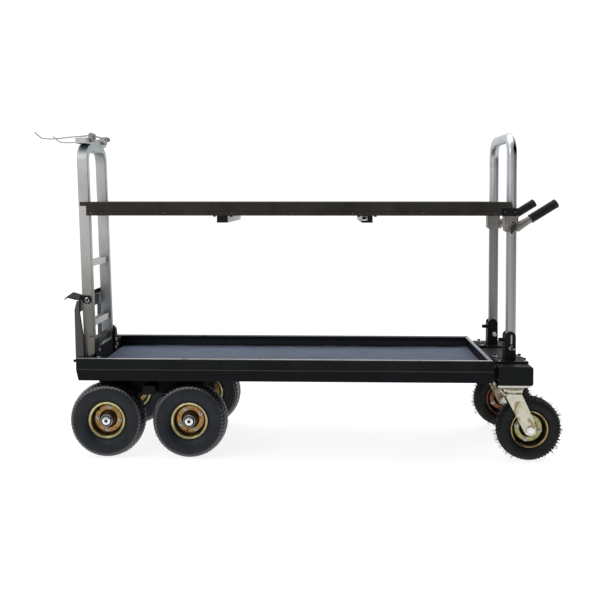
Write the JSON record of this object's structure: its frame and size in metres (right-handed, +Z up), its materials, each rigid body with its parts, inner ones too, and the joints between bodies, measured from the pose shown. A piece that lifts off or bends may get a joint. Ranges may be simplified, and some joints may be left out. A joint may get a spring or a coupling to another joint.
{
  "type": "equipment cart",
  "caption": "Long two-deck equipment cart with pneumatic wheels, carpeted deck, lift-off top shelf, ladder end with folding toe frame and fold-down push handle.",
  "frame": {"origin": "centre of the whole cart's bounding box, on the floor", "axes": "+Z up, X along the cart with the push handle at +X and the ladder end at -X, Y across it"},
  "size_m": [1.8228, 0.52, 1.1133],
  "materials": {
    "black_paint": "satin black powder coat",
    "deck_felt": "dark blue-grey needle felt",
    "bare_aluminium": "brushed, lightly oxidised",
    "cast_aluminium": "as cast, tumbled",
    "bright_zinc": "zinc plated",
    "yellow_zinc": "yellow passivated zinc",
    "tyre_rubber": "matt black",
    "grip_rubber": "matt black",
    "bolt_steel": "polished",
    "knob_plastic": "matt dark grey"
  },
  "bodies": {
    "chassis": {"side_rails": "black_paint", "tray_end_walls": "black_paint", "tray_floor": "black_paint", "tray_carpet": "deck_felt", "cross_members": "black_paint", "end_beam": "black_paint", "beam_spacers": "black_paint", "axle_carrier": "black_paint", "rear_axles": "bright_zinc", "axle_end_bolts": "bolt_steel", "caster_plates": "bright_zinc", "caster_kingpins": "bright_zinc", "socket_plates": "black_paint", "socket_brackets": "black_paint", "socket_bolts": "bolt_steel", "pivot_bolts": "bolt_steel", "plunger_barrels": "black_paint", "ladder_frame": "bare_aluminium", "ladder_rungs": "bare_aluminium", "ladder_feet": "bare_aluminium", "ladder_gussets": "black_paint", "frame_bolts": "bolt_steel", "hook_plate": "bare_aluminium", "toe_brackets": "black_paint"},
    "shelf": {"shelf_side_rails": "black_paint", "shelf_ends": "black_paint", "shelf_post_clamps": "black_paint", "shelf_panel": "black_paint", "shelf_mat": "deck_felt", "shelf_cross_rails": "bare_aluminium", "shelf_rail_clips": "black_paint"},
    "handle": {"near_post": "bare_aluminium", "far_post": "bare_aluminium", "handle_loop": "bare_aluminium"},
    "latch": {"latch_bail": "black_paint"},
    "toe": {"toe_frame": "bare_aluminium"},
    "hooks": {"hook_rack": "bright_zinc"},
    "near_slider": {"near_collar": "cast_aluminium", "near_grip": "grip_rubber"},
    "near_knob": {"near_clamp_knob": "knob_plastic"},
    "near_lock_pin": {"near_plunger": "black_paint"},
    "near_swivel": {"near_fork": "bright_zinc"},
    "near_caster": {"near_caster_tyre": "tyre_rubber", "near_caster_wheel": "yellow_zinc"},
    "near_outer_wheel": {"near_outer_rear_tyre": "tyre_rubber", "near_outer_rear_wheel": "yellow_zinc"},
    "near_inner_wheel": {"near_inner_rear_tyre": "tyre_rubber", "near_inner_rear_wheel": "yellow_zinc"},
    "far_slider": {"far_collar": "cast_aluminium", "far_grip": "grip_rubber"},
    "far_knob": {"far_clamp_knob": "knob_plastic"},
    "far_lock_pin": {"far_plunger": "black_paint"},
    "far_swivel": {"far_fork": "bright_zinc"},
    "far_caster": {"far_caster_tyre": "tyre_rubber", "far_caster_wheel": "yellow_zinc"},
    "far_outer_wheel": {"far_outer_rear_tyre": "tyre_rubber", "far_outer_rear_wheel": "yellow_zinc"},
    "far_inner_wheel": {"far_inner_rear_tyre": "tyre_rubber", "far_inner_rear_wheel": "yellow_zinc"}
  },
  "joints": [
    {"name": "near_slider_height", "type": "slide", "parent": "handle", "child": "near_slider", "axis": [0, 0, 1], "range_m": [-0.2, 0]},
    {"name": "near_knob_turn", "type": "hinge", "parent": "near_slider", "child": "near_knob", "pos_m": [0.75, -0.1757, 0.777], "axis": [0, 1, 0], "range_deg": [0, 180]},
    {"name": "near_lock_pull", "type": "slide", "parent": "chassis", "child": "near_lock_pin", "axis": [-1, 0, 0], "range_m": [0, 0.006], "stiffness_N_per_m": 600, "springref_m": -0.004},
    {"name": "near_caster_swivel", "type": "hinge", "parent": "chassis", "child": "near_swivel", "pos_m": [0.747, -0.2138, 0.24], "axis": [0, 0, 1], "continuous": true},
    {"name": "near_caster_roll", "type": "hinge", "parent": "near_swivel", "child": "near_caster", "pos_m": [0.797, -0.2138, 0.1085], "axis": [0, 1, 0], "continuous": true},
    {"name": "near_outer_wheel_roll", "type": "hinge", "parent": "chassis", "child": "near_outer_wheel", "pos_m": [-0.6244, -0.21, 0.1275], "axis": [0, 1, 0], "continuous": true},
    {"name": "near_inner_wheel_roll", "type": "hinge", "parent": "chassis", "child": "near_inner_wheel", "pos_m": [-0.3433, -0.21, 0.1275], "axis": [0, 1, 0], "continuous": true},
    {"name": "far_slider_height", "type": "slide", "parent": "handle", "child": "far_slider", "axis": [0, 0, 1], "range_m": [-0.2, 0]},
    {"name": "far_knob_turn", "type": "hinge", "parent": "far_slider", "child": "far_knob", "pos_m": [0.75, 0.1757, 0.777], "axis": [0, 1, 0], "range_deg": [0, 180]},
    {"name": "far_lock_pull", "type": "slide", "parent": "chassis", "child": "far_lock_pin", "axis": [-1, 0, 0], "range_m": [0, 0.006], "stiffness_N_per_m": 600, "springref_m": -0.004},
    {"name": "far_caster_swivel", "type": "hinge", "parent": "chassis", "child": "far_swivel", "pos_m": [0.747, 0.2138, 0.24], "axis": [0, 0, 1], "continuous": true},
    {"name": "far_caster_roll", "type": "hinge", "parent": "far_swivel", "child": "far_caster", "pos_m": [0.797, 0.2138, 0.1085], "axis": [0, 1, 0], "continuous": true},
    {"name": "far_outer_wheel_roll", "type": "hinge", "parent": "chassis", "child": "far_outer_wheel", "pos_m": [-0.6244, 0.21, 0.1275], "axis": [0, 1, 0], "continuous": true},
    {"name": "far_inner_wheel_roll", "type": "hinge", "parent": "chassis", "child": "far_inner_wheel", "pos_m": [-0.3433, 0.21, 0.1275], "axis": [0, 1, 0], "continuous": true},
    {"name": "handle_fold", "type": "hinge", "parent": "chassis", "child": "handle", "pos_m": [0.75, 0, 0.368], "axis": [0, 1, 0], "range_deg": [0, 90]},
    {"name": "shelf_lift", "type": "slide", "parent": "chassis", "child": "shelf", "axis": [0, 0, 1], "range_m": [0, 0.15]},
    {"name": "latch_lift", "type": "hinge", "parent": "chassis", "child": "latch", "pos_m": [-0.717, 0, 0.524], "axis": [0, 1, 0], "range_deg": [0, 12]},
    {"name": "toe_fold", "type": "hinge", "parent": "chassis", "child": "toe", "pos_m": [-0.738, 0, 0.305], "axis": [0, -1, 0], "range_deg": [0, 90]},
    {"name": "hook_flip", "type": "hinge", "parent": "chassis", "child": "hooks", "pos_m": [-0.706, 0, 1.1], "axis": [0, 1, 0], "range_deg": [0, 100]}
  ]
}
